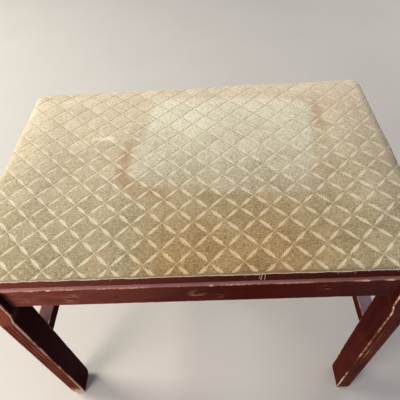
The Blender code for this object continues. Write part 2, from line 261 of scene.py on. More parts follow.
def varnished_mahogany(name, grain_axis, offset, bleach_and_light_colour, dust_and_sheen_colour, dust_and_sheen_right, dust_and_sheen_left):
    """Mahogany, planed, stained red and varnished: dark red-brown with long soft streaks and short pores.

    The varnish is satin and scratched, and worn through to pale wood along the arrises.
    """
    finish, add = new_finish(name)
    place = add("TexCoord").outputs["Object"]
    facing = add("NewGeometry").outputs["Normal"]
    along = add("SeparateXYZ", place).outputs["X"]
    start = (offset, 2 * offset, 3 * offset)

    # Grain: streaks 9 mm wide, and pores, finer than 0.3 mm, drawn 1.3 mm wide so that they show
    figure = stretched_noise(add, place, grain_sizes(grain_axis, 9 * MM, 140 * MM),
                             {"Detail": 6.0, "Roughness": 0.62, "Distortion": 0.6}, start)
    figure_part = add("MapRange", {"Value": figure, "From Min": 0.32, "From Max": 0.7})
    pores = stretched_noise(add, place, grain_sizes(grain_axis, 1.3 * MM, 14 * MM), {"Detail": 2.0}, start)
    pore_part = add("MapRange", {"Value": pores, "From Min": 0.58, "From Max": 0.72, "To Max": 0.55})

    # Hand soil and sun leave broad paler places, and the stain has taken unevenly, in purple-brown places
    broad = add("TexNoise", {"Vector": place, "Scale": 1 / (70 * MM), "Detail": 3.0, "Roughness": 0.6})
    broad_part = add("MapRange", {"Value": broad, "From Min": 0.45, "From Max": 0.75, "To Max": 0.45})
    mottle = stretched_noise(add, place, grain_sizes(grain_axis, 16 * MM, 55 * MM),
                             {"Detail": 3.0, "Roughness": 0.6})
    mottle_part = add("MapRange", {"Value": mottle, "From Min": 0.42, "From Max": 0.7, "To Max": 0.6})

    # Painted sheen: fronts near the right end are made slightly grey, standing for a grey reflection of the
    # room
    frontal = add("VectorMath", facing, (0.0, -1.0, 0.0), operation="DOT_PRODUCT")
    rightward = add("MapRange", {"Value": along, "From Min": 0.1, "From Max": 0.25, "To Max": 0.065})
    painted_grey_sheen = add("Math", frontal, rightward, operation="MULTIPLY", use_clamp=True)
    # Painted shade: faces turned towards the right end, away from the lamps, are darkened to purple-black
    painted_side_shade = add("VectorMath", facing, (0.55, 0.0, 0.0), operation="DOT_PRODUCT")
    painted_side_shade = add("Math", painted_side_shade, 0.0, operation="MAXIMUM")

    # Scratches: short pale dashes nearly along the grain, in clusters on the apron
    dashes = stretched_noise(add, place, grain_sizes(grain_axis, 2.0 * MM, 11 * MM), {"Detail": 2.0},
                             turn=(0.1, 0.1, 0.1))
    dash_part = add("MapRange", {"Value": dashes, "From Min": 0.5, "From Max": 0.66})
    clusters = near_spots(add, place, SCRATCH_SPOTS, broad)
    scratched = add("Math", dash_part, clusters, operation="MULTIPLY")

    # Wear: the attribute is high at an arris, and fine noise breaks its edge up
    wear = add("Attribute", attribute_name="wear").outputs["Fac"]
    grit = add("TexNoise", {"Vector": place, "Scale": 1 / (3.5 * MM), "Detail": 4.0, "Roughness": 0.7})
    grit_shift = add("Math", grit, 0.9, -0.45, operation="MULTIPLY_ADD")
    worn = add("Math", wear, grit_shift, operation="ADD")
    thin = add("MapRange", {"Value": worn, "From Min": 0.28, "From Max": 0.6})
    bare = add("MapRange", {"Value": worn, "From Min": 0.55, "From Max": 0.8})

    # Dust and painted sheen: faces that look up carry a pinkish-grey film, part dust and part a painted
    # reflection of the light from above
    upward = add("SeparateXYZ", facing).outputs["Z"]
    dust_and_sheen = add("MapRange", {"Value": upward, "From Min": 0.5, "From Max": 0.95})
    dust_and_sheen_along = add("MapRange", {"Value": along, "From Min": 0.2, "From Max": -0.2,
                               "To Min": dust_and_sheen_right, "To Max": dust_and_sheen_left})
    dust_and_sheen = add("Math", dust_and_sheen, dust_and_sheen_along, operation="MULTIPLY")
    uneven = add("MapRange", {"Value": broad, "From Min": 0.3, "From Max": 0.6, "To Min": 0.7})
    dust_and_sheen = add("Math", dust_and_sheen, uneven, operation="MULTIPLY")

    # Among these layers: bleaching with painted light, painted sheen, painted shade, dust with painted
    # sheen
    colour = layered(add, "#36100d", (figure_part, "#5d2019"), (pore_part, "#220a07"),
                     (broad_part, "#6d2d23"), (bleach_and_painted_light(add, facing, along), bleach_and_light_colour),
                     (mottle_part, "#4c1c1c"), (painted_grey_sheen, "#a08a88"), (painted_side_shade, "#2a1222"),
                     (scratched, "#c08c78"), (thin, "#95502f"), (bare, "#f0cdb4"), (dust_and_sheen, dust_and_sheen_colour))
    dull = add("MapRange", {"Value": worn, "From Min": 0.2, "From Max": 0.8, "To Min": 0.38, "To Max": 0.7})
    height = add("Math", pore_part, -1.0, 1.0, operation="MULTIPLY_ADD")
    bump = add("Bump", {"Strength": 0.25, "Distance": 0.3 * MM, "Height": height})
    return surfaced(finish, add, {"Base Color": colour, "Roughness": dull, "Normal": bump,
                                  "Specular IOR Level": 0.003})


def stained_plywood_edge():
    """Plywood edge, sawn and brushed with dark stain: dull, nearly black red, with faint layers."""
    finish, add = new_finish("stained_plywood_edge")
    place = add("TexCoord").outputs["Object"]
    facing = add("NewGeometry").outputs["Normal"]
    along = add("SeparateXYZ", place).outputs["X"]
    layers = stretched_noise(add, place, (60 * MM, 60 * MM, 3.2 * MM), {"Detail": 4.0, "Roughness": 0.6})
    layer_part = add("MapRange", {"Value": layers, "From Min": 0.35, "From Max": 0.7})
    wear = add("Attribute", attribute_name="wear").outputs["Fac"]
    grit = add("TexNoise", {"Vector": place, "Scale": 1 / (3 * MM), "Detail": 4.0, "Roughness": 0.7})
    worn = add("Math", wear, grit, operation="MULTIPLY")
    rubbed = add("MapRange", {"Value": worn, "From Min": 0.35, "From Max": 0.55})
    # The bleaching is partly painted light from the lamps at the front left
    colour = layered(add, "#34100c", (layer_part, "#5c231d"), (bleach_and_painted_light(add, facing, along), "#8a4a3e"),
                     (rubbed, "#8d5c4a"))
    bump = add("Bump", {"Strength": 0.3, "Distance": 0.4 * MM, "Height": layers})
    return surfaced(finish, add, {"Base Color": colour, "Roughness": 0.6, "Normal": bump,
                                  "Specular IOR Level": 0.06})


def bare_wood(name, light, dark, grain_axis):
    """Plywood, pine or beech, sawn or turned and left bare: straw coloured, with darker late-wood lines."""
    finish, add = new_finish(name)
    place = add("TexCoord").outputs["Object"]
    rings = stretched_noise(add, place, grain_sizes(grain_axis, 3.0 * MM, 160 * MM),
                            {"Detail": 5.0, "Roughness": 0.6, "Distortion": 0.8})
    ring_part = add("MapRange", {"Value": rings, "From Min": 0.35, "From Max": 0.7})
    soil = add("TexNoise", {"Vector": place, "Scale": 1 / (30 * MM), "Detail": 4.0, "Roughness": 0.65})
    soil_part = add("MapRange", {"Value": soil, "From Min": 0.45, "From Max": 0.8, "To Max": 0.5})
    colour = layered(add, light, (ring_part, dark), (soil_part, "#6d4d33"))
    bump = add("Bump", {"Strength": 0.3, "Distance": 0.4 * MM, "Height": rings})
    return surfaced(finish, add, {"Base Color": colour, "Roughness": 0.75, "Normal": bump})


def zinced_steel():
    """Steel screws, rolled and zinc plated: dull grey metal with brown specks of rust."""
    finish, add = new_finish("zinced_steel")
    place = add("TexCoord").outputs["Object"]
    specks = add("TexNoise", {"Vector": place, "Scale": 1 / (1.6 * MM), "Detail": 5.0, "Roughness": 0.7})
    rust = add("MapRange", {"Value": specks, "From Min": 0.55, "From Max": 0.68})
    colour = layered(add, "#b9b8b6", (rust, "#6b4632"))
    metal = add("MapRange", {"Value": rust, "To Min": 1.0, "To Max": 0.2})
    dull = add("MapRange", {"Value": rust, "To Min": 0.36, "To Max": 0.8})
    return surfaced(finish, add, {"Base Color": colour, "Metallic": metal, "Roughness": dull})


# Materials of the cover

def lattice_masks(add, cloth, rough, pressed):
    """The woven lattice on the flat cloth: spindle mask, metres to the nearest line, and diamond count."""
    share = MM / LATTICE_REPEAT
    near = []
    counts = []
    for along, across, shift in LATTICE_LINES:
        count = add("VectorMath", cloth, (1 / along, 1 / across, 0.0), operation="DOT_PRODUCT")
        count = add("Math", count, shift, operation="ADD")
        counts.append(add("Math", count, operation="FLOOR"))
        near.append(add("Math", count, 0.5, operation="PINGPONG"))
    hair = add("MapRange", {"Value": pressed, "To Min": 0.8, "To Max": 0.4})
    masks = []
    for own, other, half_width in zip(near, near[::-1], SPINDLE_HALF_WIDTHS):
        # A spindle between two crossings with rough edges, and a hair line that runs on through them
        swell = add("MapRange", {"Value": other, "From Min": SPINDLE_START, "From Max": SPINDLE_FULL})
        reach = add("Math", swell, half_width / LATTICE_REPEAT, -0.5 * share,
                    operation="MULTIPLY_ADD")
        reach = add("Math", rough, share, reach, operation="MULTIPLY_ADD")
        inside = add("Math", reach, own, operation="SUBTRACT")
        leaf = add("MapRange", {"Value": inside, "From Min": -0.5 * share, "From Max": 0.7 * share})
        line = add("MapRange", {"Value": own, "From Min": 0.2 * share, "From Max": share,
                                "To Min": hair, "To Max": 0.0})
        masks.append(add("Math", leaf, line, operation="MAXIMUM"))
    spindle = add("Math", masks[0], masks[1], operation="MAXIMUM")
    nearest = add("Math", near[0], near[1], operation="MINIMUM")
    distance = add("Math", nearest, LATTICE_REPEAT, operation="MULTIPLY")
    return spindle, distance, add("CombineXYZ", {"X": counts[0], "Y": counts[1]})


def outside_patch(add, cloth, waver):
    """Metres outside the washed patch, negative inside: straight edges blended at the corners, wavering."""
    outside = None
    for start, end in zip(PATCH_CORNERS, PATCH_CORNERS[1:] + PATCH_CORNERS[:1]):
        run = Vector((end[0] - start[0], end[1] - start[1])).normalized()
        away = (run.y, -run.x, 0.0)
        reach = away[0] * start[0] + away[1] * start[1]
        past = add("VectorMath", cloth, away, operation="DOT_PRODUCT")
        past = add("Math", past, reach, operation="SUBTRACT")
        if outside is not None:
            past = add("Math", outside, past, 15 * MM, operation="SMOOTH_MAX")
        outside = past
    shift = add("Math", waver, 26 * MM, -13 * MM, operation="MULTIPLY_ADD")
    return add("Math", outside, shift, operation="ADD")


def ramp_over(add, cloth, start, slope, *extra):
    """Start at the cloth's middle, rising by slope per metre, plus (value, share) pairs, from 0 to 1."""
    value = add("VectorMath", cloth, (slope[0], slope[1], 0.0), operation="DOT_PRODUCT")
    for added, share in extra:
        value = add("Math", added, share, value, operation="MULTIPLY_ADD")
    return add("Math", value, start, operation="ADD", use_clamp=True)


def band(add, value, centre, full, end, interpolation="LINEAR"):
    """1 where the value lies within full of the centre, and 0 further than end from it."""
    away = add("Math", value, centre, operation="SUBTRACT")
    away = add("Math", away, operation="ABSOLUTE")
    return add("MapRange", {"Value": away, "From Min": full, "From Max": end, "To Min": 1.0, "To Max": 0.0},
               interpolation_type=interpolation)


def browned_front(add, cloth, broad, waver):
    """How browned the cloth is: most in the middle of the front, less towards its left, right and back."""
    from_left = ramp_over(add, cloth, 1.45, (19.0, 0.0), (waver, 0.5))
    from_back = ramp_over(add, cloth, -0.62, (0.0, -7.5), (broad, 0.9))
    browned = add("Math", from_left, from_back, operation="MULTIPLY")
    at_right = ramp_over(add, cloth, -1.0, (8.0, 0.0), (waver, 0.4))
    to_right = add("Math", 1.0, at_right, operation="SUBTRACT")
    return add("Math", browned, to_right, operation="MULTIPLY")


def rubbed_spot(add, cloth):
    """Flecks in one place on the left, where the pile is gone."""
    spot = add("Mapping", {"Vector": cloth, "Location": RUB_PLACE, "Rotation": (0.0, 0.0, -0.12),
                           "Scale": RUB_SIZE}, vector_type="TEXTURE")
    away = add("VectorMath", spot, operation="LENGTH")
    flecks = add("TexNoise", {"Vector": cloth, "Scale": 1 / (9 * MM), "Detail": 4.0, "Roughness": 0.65})
    rough = add("Math", flecks, 3.0, away, operation="MULTIPLY_ADD")
    return add("MapRange", {"Value": rough, "From Min": 1.7, "From Max": 2.2, "To Min": 0.9, "To Max": 0.0})


def velour_relief(add, cloth, grain, pressed, spindle, distance):
    """Bump of the slubby ground, puckers 7 mm long, a step at each spindle, and creases along the lines."""
    pucker = add("TexNoise", {"Vector": cloth, "Scale": 1 / (7 * MM), "Detail": 2.0, "Roughness": 0.5})
    upright = add("MapRange", {"Value": pressed, "To Min": 0.5, "To Max": 0.06})
    crease = add("MapRange", {"Value": distance, "From Min": 0.3 * MM, "From Max": 1.5 * MM},
                 interpolation_type="SMOOTHSTEP")
    nap = add("MapRange", {"Value": spindle, "To Min": 0.22, "To Max": 0.0})
    for height, share in ((crease, upright), (grain, 0.9), (pucker, 0.9)):
        nap = add("Math", height, share, nap, operation="MULTIPLY_ADD")
    return add("Bump", {"Strength": 0.7, "Distance": 0.8 * MM, "Height": nap})


def lattice_velour():
    """Cotton velour, woven with a short cut pile and flat spindles in a diamond lattice.

    The ground is khaki and slubby, the spindles cream. It is greyer towards the front, where it is sat on
    and where painted shade darkens it, brown in the middle of the front, and paler in a washed patch with
    tide marks beside it.
    """
    finish, add = new_finish("lattice_velour")
    cloth = add("UVMap", uv_map="cloth")
    broad = add("TexNoise", {"Vector": cloth, "Scale": 1 / (70 * MM), "Detail": 4.0, "Roughness": 0.6})
    waver = add("TexNoise", {"Vector": cloth, "Scale": 1 / (24 * MM), "Detail": 5.0, "Roughness": 0.65})

    # Weave: yarns about 0.6 mm apart, drawn as crossing slubs 1.3 to 1.7 mm wide so that they show
    slubs = [stretched_noise(add, cloth, (along, across, 1.0), {"Detail": 2.0, "Roughness": 0.6},
                             start=(along * 40, 0.0, 0.0))
             for along, across in ((5 * MM, 1.7 * MM), (1.3 * MM, 5 * MM))]
    grain = add("Math", slubs[0], slubs[1], operation="ADD")
    grain = add("Math", grain, 0.75, -0.25, operation="MULTIPLY_ADD")
    pressed = ramp_over(add, cloth, *PRESSED)
    spindle, distance, diamond = lattice_masks(add, cloth, grain, pressed)
    tint = add("TexWhiteNoise", {"Vector": diamond})
    tinted = add("Math", tint, 0.1, grain, operation="MULTIPLY_ADD")
    patchy = add("Math", waver, 0.3, tinted, operation="MULTIPLY_ADD")
    pile = add("MapRange", {"Value": patchy, "From Min": 0.53, "From Max": 0.87})

    # Greyed towards the front: part sitting, part painted shade; and browned in the middle of the front
    greyed_and_shaded = ramp_over(add, cloth, 0.22, (0.25, -3.4), (broad, 0.6))
    browned = browned_front(add, cloth, broad, waver)

    # Washed patch: greenish and pale at its far left, fading towards the near right
    outside = outside_patch(add, cloth, waver)
    washed = add("MapRange", {"Value": outside, "From Min": -9 * MM, "From Max": 4 * MM,
                              "To Min": 0.95, "To Max": 0.0}, interpolation_type="SMOOTHSTEP")
    fading = ramp_over(add, cloth, 0.25, (0.3, -5.2), (broad, 0.5))

    # Tide marks: pinkish-brown smears just outside the patch, at its left, its near left and its far right
    rim = band(add, outside, 11 * MM, full=2 * MM, end=18 * MM, interpolation="SMOOTHSTEP")
    tide = add("Math", near_spots(add, cloth, TIDE_SPOTS, waver), rim, operation="MULTIPLY")
    flush = near_spots(add, cloth, PINK_SPOTS, waver)

    # Ground: each colour runs from dark to light with the pile
    shades = (("#c8b897", "#f8ebd1"), ("#8f8363", "#c3b592"), ("#8a7048", "#bda071"),
              ("#cfc8a8", "#fffce6"), ("#958868", "#cabea0"))
    clean, grey_and_shade, brown, pale, faded = [layered(add, dark, (pile, light)) for dark, light in shades]
    ground = layered(add, clean, (greyed_and_shaded, grey_and_shade), (browned, brown),
                     (washed, layered(add, pale, (fading, faded))), (tide, "#ab8560"), (flush, "#d2a98a"))

    # Spindles: cream, browner with the ground, and brightest where they aren't pressed
    thread_clean = layered(add, "#d9cba9", (grain, "#f6ecd4"))
    thread_brown = layered(add, "#d0ac80", (grain, "#f9e1ba"))
    fresh = add("MapRange", {"Value": pressed, "To Min": 0.25, "To Max": 0.0})
    thread = layered(add, thread_clean, (browned, thread_brown), (0.18, ground), (fresh, "#fff8e8"))

    # Painted shade: the ground is darkened beside each line, as if in the creases' shadow, most where it
    # isn't pressed flat
    painted_crease_shade = band(add, distance, 1.2 * MM, full=0.2 * MM, end=0.8 * MM)
    crease_shade_strength = add("MapRange", {"Value": pressed, "To Min": 0.38, "To Max": 0.06})
    painted_crease_shade = add("Math", painted_crease_shade, crease_shade_strength, operation="MULTIPLY")

    # The pale pinkish backing shows in a rubbed spot, and along the raw edge's last millimetre or two
    skirt = add("Attribute", attribute_name="skirt").outputs["Fac"]
    backing = add("MapRange", {"Value": skirt, "From Min": 0.93, "From Max": 0.97})
    rubbed = rubbed_spot(add, cloth)
    # Laid over the ground: spindles, painted crease shade, the rubbed spot and the backing
    colour = layered(add, ground, (spindle, thread), (painted_crease_shade, "#6d5a3c"), (rubbed, "#ffebd0"),
                     (backing, "#fdeed6"))
    bump = velour_relief(add, cloth, grain, pressed, spindle, distance)
    return surfaced(finish, add, {"Base Color": colour, "Roughness": 0.9, "Normal": bump,
                                  "Specular IOR Level": 0.2, "Sheen Weight": 0.35,
                                  "Sheen Roughness": 0.4, "Sheen Tint": "#f3e8cf"})


def cotton_thread():
    """Cotton yarn, spun and unravelled: matt cream with darker twists."""
    finish, add = new_finish("cotton_thread")
    place = add("TexCoord").outputs["Object"]
    twist = add("TexNoise", {"Vector": place, "Scale": 1 / (1.2 * MM), "Detail": 3.0})
    colour = layered(add, "#b39c74", (twist, "#efe3c8"))
    return surfaced(finish, add, {"Base Color": colour, "Roughness": 0.9, "Sheen Weight": 0.3})


# Bleach colours are partly painted light, and dust colours partly a painted sheen
LEG_MAHOGANY = varnished_mahogany("mahogany_legs", grain_axis=2, offset=0.3, bleach_and_light_colour="#a05846",
                                  dust_and_sheen_colour="#bd9694", dust_and_sheen_right=0.5, dust_and_sheen_left=0.5)
APRON_MAHOGANY = varnished_mahogany("mahogany_aprons", grain_axis=0, offset=1.1, bleach_and_light_colour="#a96558",
                                    dust_and_sheen_colour="#e2aba5", dust_and_sheen_right=0.57, dust_and_sheen_left=0.95)
END_MAHOGANY = varnished_mahogany("mahogany_rails_and_stretchers", grain_axis=1, offset=2.4,
                                  bleach_and_light_colour="#a05846", dust_and_sheen_colour="#c4adb4", dust_and_sheen_right=0.62,
                                  dust_and_sheen_left=0.19)
BOARD_EDGE = stained_plywood_edge()
BOARD_UNDERSIDE = bare_wood("bare_plywood_underside", "#c9a678", "#a8814f", grain_axis=0)
BLOCK_WOOD = bare_wood("bare_pine_blocks", "#d2ae7c", "#aa7e4c", grain_axis=0)
DOWEL_WOOD = bare_wood("bare_beech_dowels", "#cda579", "#b0855a", grain_axis=1)
SCREW_STEEL = zinced_steel()
VELOUR = lattice_velour()
THREAD = cotton_thread()


# Wood pieces: rings of points round a section, lofted from one end to the other

def rounded_section(half_a, half_b, radius, steps_a, steps_b, corner_steps=4):
    """Points round a rounded rectangle: a, b, outward a, outward b, and the distance along the side
    to the nearer corner."""
    points = []
    sides = [((-1, -1), (1, -1), (0, -1), steps_a), ((1, -1), (1, 1), (1, 0), steps_b),
             ((1, 1), (-1, 1), (0, 1), steps_a), ((-1, 1), (-1, -1), (-1, 0), steps_b)]
    inner_a = half_a - radius
    inner_b = half_b - radius
    for start, end, facing, steps in sides:
        length = abs(end[0] - start[0]) * inner_a + abs(end[1] - start[1]) * inner_b
        for step in range(steps + 1):
            part = step / steps
            a = inner_a * (start[0] + (end[0] - start[0]) * part) + facing[0] * radius
            b = inner_b * (start[1] + (end[1] - start[1]) * part) + facing[1] * radius
            points.append((a, b, facing[0], facing[1], min(part, 1 - part) * length))
        first = math.atan2(facing[1], facing[0])
        for step in range(1, corner_steps):
            angle = first + math.pi / 2 * step / corner_steps
            out_a = math.cos(angle)
            out_b = math.sin(angle)
            points.append((inner_a * end[0] + out_a * radius, inner_b * end[1] + out_b * radius,
                           out_a, out_b, 0.0))
    return points


def lofted(name, rings, finish):
    """A closed piece from rings of (point, wear), with its wear kept as an attribute."""
    count = len(rings[0])
    last = (len(rings) - 1) * count
    faces = []
    for row in range(0, last, count):
        for column in range(count):
            after = (column + 1) % count
            faces.append((row + column, row + after, row + count + after, row + count + column))
    faces.append(tuple(range(count))[::-1])
    faces.append(tuple(range(last, last + count)))
    mesh = bpy.data.meshes.new(name)
    mesh.from_pydata([point for ring in rings for point, _ in ring], [], faces)
    kept = mesh.attributes.new("wear", "FLOAT", "POINT")
    kept.data.foreach_set("value", [worn for ring in rings for _, worn in ring])
    shaped = bmesh.new()
    shaped.from_mesh(mesh)
    bmesh.ops.recalc_face_normals(shaped, faces=shaped.faces)
    shaped.to_mesh(mesh)
    shaped.free()
    mesh.shade_smooth()
    mesh.set_sharp_from_angle(angle=math.radians(38))
    return new_piece(name, mesh, finish)


def even_steps(start, end, size):
    """Places from start to end, about size apart."""
    count = max(1, round((end - start) / size))
    return [start + (end - start) * i / count for i in range(count + 1)]


def rubbing(place, seed, strength):
    """How worn an arris is here, 0 to about 1, and how deep it is dented, in metres."""
    spot = Vector((seed * 7.3, seed * 3.1, seed * 5.7))
    slow = noise.noise(place / (55 * MM) + spot)
    quick = noise.noise(place / (9 * MM) + spot)
    worn = strength * (0.85 + 0.4 * slow + 0.35 * quick)
    dent = max(0.0, 0.2 + slow * 0.6 + quick * 0.7) * DENT_DEPTH * strength
    return worn, dent


def worn_back(radius, z):
    """How far back a foot's edge is at a height above the floor, worn round to a radius."""
    part = max(0.0, 1 - z / radius)
    return radius * (1 - math.sqrt(1 - part * part)) * 0.9


def fluted_leg(node, seed):
    """A flat leg: a block on top, sloped shoulders, and a shaft with pointed flutes on its outer face."""
    low, high = (Vector(corner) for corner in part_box(node))
    middle = (low + high) / 2
    outward = -1 if middle.y < 0 else 1
    sideways = -outward if middle.x > 0 else outward
    height = high.z
    half_depth = (high.y - low.y) / 2
    half_block = (high.x - low.x) / 2
    half_shaft = LEG_WIDTH / 2
    block_bottom = height - BLOCK_HEIGHT
    shaft_top = block_bottom - SHOULDER_HEIGHT
    flute_point = shaft_top - FLUTE_DROP
    flute_full = flute_point - FLUTE_POINT_LENGTH
    foot_wear, heel_wear, toe_wear, *inner_arris_wear = LEG_WEAR[node]
    ridge_wear_and_highlight = RIDGE_WEAR_AND_HIGHLIGHT_RIGHT if middle.x > 0 else RIDGE_WEAR_AND_HIGHLIGHT_LEFT
    heights = [foot_wear * (1 - math.cos(math.pi / 2 * step / 8)) for step in range(8)] + [foot_wear]
    for start, end, size in ((foot_wear, flute_full, 4 * MM), (flute_full, flute_point, 1 * MM),
                             (flute_point, shaft_top, 1 * MM), (shaft_top, block_bottom, 3 * MM),
                             (block_bottom, height - TOP_EASE, 4 * MM)):
        heights += even_steps(start, end, size)[1:]
    heights += [height - 0.8 * MM, height - 0.3 * MM, height]
    rings = []
    for z in heights:
        part = clamp((z - shaft_top) / SHOULDER_HEIGHT, 0.0, 1.0)
        half_width = half_shaft + (half_block - half_shaft) * part
        foot = max(0.0, 1 - z / foot_wear)
        head = max(0.0, 1 - (height - z) / TOP_EASE)
        # The foot's outer corner and heel are worn round, and its other edges and the top's only eased
        corner_cut = worn_back(foot_wear, z)
        heel_cut = worn_back(heel_wear, z)
        eased = EASE_DEPTH * (smooth(FOOT_EASE - z, 0.0, FOOT_EASE) + smooth(head, 0.0, 1.0))
        toe = smooth(TOE_HEIGHT - z, 0.0, TOE_HEIGHT)
        # Arrises are rubbed more near the block and near the floor
        ends = max(smooth(z, 0.66 * height, 0.78 * height), smooth(130 * MM - z, 0.0, 90 * MM))
        taper = clamp((flute_point - z) / FLUTE_POINT_LENGTH, 0.0, 1.0)
        ring = []
        for a, b, out_a, out_b, edge in rounded_section(half_width, half_depth, LEG_ARRIS,
                                                        steps_a=44, steps_b=16):
            # The outer face's inner arris is rubbed most
            rubbed_most = b < 0 and a * sideways < 0
            strength, reach = inner_arris_wear if rubbed_most else OTHER_ARRIS_WEAR
            worn, dent = rubbing(Vector((a, b, z)), seed, strength)
            bite = math.exp(-(edge / reach) ** 2)
            level = worn * bite * (0.85 + 0.4 * ends)
            if out_b == -1:
                level = max(level, toe_wear * toe)
            push = -dent * bite - eased
            if out_b == -1 and taper > 0:
                for flute in range(FLUTE_COUNT):
                    centre = (flute - (FLUTE_COUNT - 1) / 2) * FLUTE_PITCH
                    half_flute = FLUTE_WIDTH / 2 * taper
                    away = abs(a - centre)
                    if away < half_flute:
                        push -= FLUTE_DEPTH * taper * (1 - away / half_flute)
                    # Each flute's edges are paler: wear, and on the right legs partly a painted highlight
                    ridge = math.exp(-((away - half_flute) / RIDGE_REACH) ** 2)
                    level = max(level, worn * ridge_wear_and_highlight * ridge)
            foot_level = smooth(foot, 0.1, 1.0) * (1.0 if out_b < -0.5 else 0.7)
            level = max(level, worn * max(foot_level, head * 0.9))
            a += out_a * push
            b += out_b * push
            if a * sideways > 0:
                a *= 1 - corner_cut / half_width
            if b > 0:
                b *= 1 - heel_cut / half_depth
            ring.append(((middle.x - outward * a, middle.y - outward * b, z), level))
        rings.append(ring)
    leg = lofted(node + "_worn", rings, LEG_MAHOGANY)
    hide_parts(node)
    return leg


def planed_bar(node, axis, finish, seed, strength):
    """A straight piece along one axis, with eased and worn long arrises."""
    low, high = (Vector(corner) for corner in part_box(node))
    across, up = [i for i in range(3) if i != axis]
    middle = (low + high) / 2
    half_a = (high[across] - low[across]) / 2
    half_b = (high[up] - low[up]) / 2
    rings = []
    for along in even_steps(low[axis], high[axis], 5 * MM):
        ring = []
        for a, b, out_a, out_b, edge in rounded_section(half_a, half_b, BAR_ARRIS, steps_a=10, steps_b=14):
            place = Vector((0.0, 0.0, 0.0))
            place[axis] = along
            place[across] = middle[across] + a
            place[up] = middle[up] + b
            worn, dent = rubbing(place, seed, strength)
            if node == "front_apron" and a < 0 < b:
                worn = max([worn] + [0.95 - 0.5 * abs(along - spot) / half for spot, half in CHIPS])
            bite = math.exp(-(edge / BAR_WEAR_REACH) ** 2)
            place[across] -= out_a * dent * bite
            place[up] -= out_b * dent * bite
            ring.append((tuple(place), worn * bite))
        rings.append(ring)
    bar = lofted(node + "_worn", rings, finish)
    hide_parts(node)
    return bar


def sawn_board():
    """The seat board: rounded corners, a stained edge with a worn lower arris, and a bare underside."""
    low, high = (Vector(corner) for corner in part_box("seat_board"))
    worn_part = 0.1
    rings = []
    # Each ring's share of the board's rise, and how far it is eased in, in millimetres
    for part, inset in ((0.0, 0.9), (0.02, 0.4), (0.05, 0.1), (0.09, 0.0), (0.3, 0.0), (0.5, 0.0),
                        (0.7, 0.0), (0.92, 0.0), (1.0, 0.6)):
        z = low.z + (high.z - low.z) * part
        ring = []
        for a, b, out_a, out_b, _ in rounded_section(high.x, high.y, BOARD_CORNER_RADIUS,
                                                     steps_a=90, steps_b=60, corner_steps=12):
            worn, dent = rubbing(Vector((a, b, z)), seed=31, strength=0.8)
            if part > worn_part:
                worn = dent = 0.0
            push = -inset * MM - dent
            ring.append(((a + out_a * push, b + out_b * push, z), worn * (1 - part / worn_part)))
        rings.append(ring)
    board = lofted("seat_board_stained", rings, BOARD_EDGE)
    board.data.materials.append(BOARD_UNDERSIDE)
    for face in board.data.polygons:
        face.material_index = 1 if face.normal.z < -0.9 else 0
    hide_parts("seat_board")
    return board


wooden = [fluted_leg(node, seed) for seed, node in enumerate(LEG_WEAR, 1)]
for seed, node in enumerate(("front_apron", "rear_apron"), 11):
    wooden.append(planed_bar(node, axis=0, finish=APRON_MAHOGANY, seed=seed, strength=0.6))
for seed, node in enumerate(("left_side_rail", "right_side_rail", "left_stretcher", "right_stretcher"), 13):
    wooden.append(planed_bar(node, axis=1, finish=END_MAHOGANY, seed=seed, strength=0.7))
wooden.append(sawn_board())


# Padded seat: cloth laid flat in (s, t), wrapped over the padding's edge and down the board's edge

board_high = Vector(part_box("seat_board")[1])
cover_low, cover_high = (Vector(corner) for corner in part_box("seat_cover"))
raw_edge_z = cover_low.z
pad_bottom_z = board_high.z + PADDING_GAP
bulge_z = pad_bottom_z + BULGE_HEIGHT
shoulder_z = cover_high.z - PADDING_CROWN
shoulder_x = board_high.x - EDGE_ROUND
shoulder_y = board_high.y - EDGE_ROUND
shoulder_radius = BOARD_CORNER_RADIUS - EDGE_ROUND


def edge_profile():
    """The cover's section from the top's shoulder to its raw edge: lengths so far, and (out, z) points."""
    reach = EDGE_ROUND + SIDE_BULGE + CLOTH_STAND
    round_steps = 40
    side_steps = 20
    line = []
    for step in range(round_steps + 1):
        angle = math.pi / 2 * step / round_steps
        line.append((reach * math.sin(angle), bulge_z + (shoulder_z - bulge_z) * math.cos(angle)))
    for step in range(1, side_steps + 1):
        part = step / side_steps
        pull_in = SIDE_BULGE * (1 - math.cos(math.pi / 2 * part) ** 2)
        line.append((reach - pull_in, bulge_z + (board_high.z - bulge_z) * part))
    line.append((reach - SIDE_BULGE, raw_edge_z))
    lengths = [0.0]
    for before, after in zip(line, line[1:]):
        lengths.append(lengths[-1] + math.dist(before, after))
    return np.array(lengths), np.array(line)


PROFILE_LENGTHS, PROFILE_LINE = edge_profile()
WRAP_LENGTH = PROFILE_LENGTHS[-1]


def draped(flat):
    """Where the cloth's points lie, and how far each is past the shoulder, for an array of flat places."""
    s, t = np.moveaxis(flat, -1, 0)
    past_x = np.abs(s) - (shoulder_x - shoulder_radius)
    past_y = np.abs(t) - (shoulder_y - shoulder_radius)
    out_x = np.maximum(past_x, 0)
    out_y = np.maximum(past_y, 0)
    length = np.hypot(out_x, out_y)
    past = length + np.minimum(np.maximum(past_x, past_y), 0) - shoulder_radius
    safe = np.where(length > 0, length, 1)
    way_x = np.where(length > 0, out_x / safe, 0) * np.sign(s)
    way_y = np.where(length > 0, out_y / safe, 0) * np.sign(t)
    wrapped = np.clip(past, 0, WRAP_LENGTH)
    out = np.interp(wrapped, PROFILE_LENGTHS, PROFILE_LINE[:, 0])
    z = np.interp(wrapped, PROFILE_LENGTHS, PROFILE_LINE[:, 1])
    crown = PADDING_CROWN * (1 - np.clip(s / shoulder_x, -1, 1) ** 2)
    crown = crown * (1 - np.clip(t / shoulder_y, -1, 1) ** 2)
    x = s + way_x * (out - wrapped)
    y = t + way_y * (out - wrapped)
    return np.stack([x, y, z + np.where(past > 0, 0, crown)], axis=-1), past


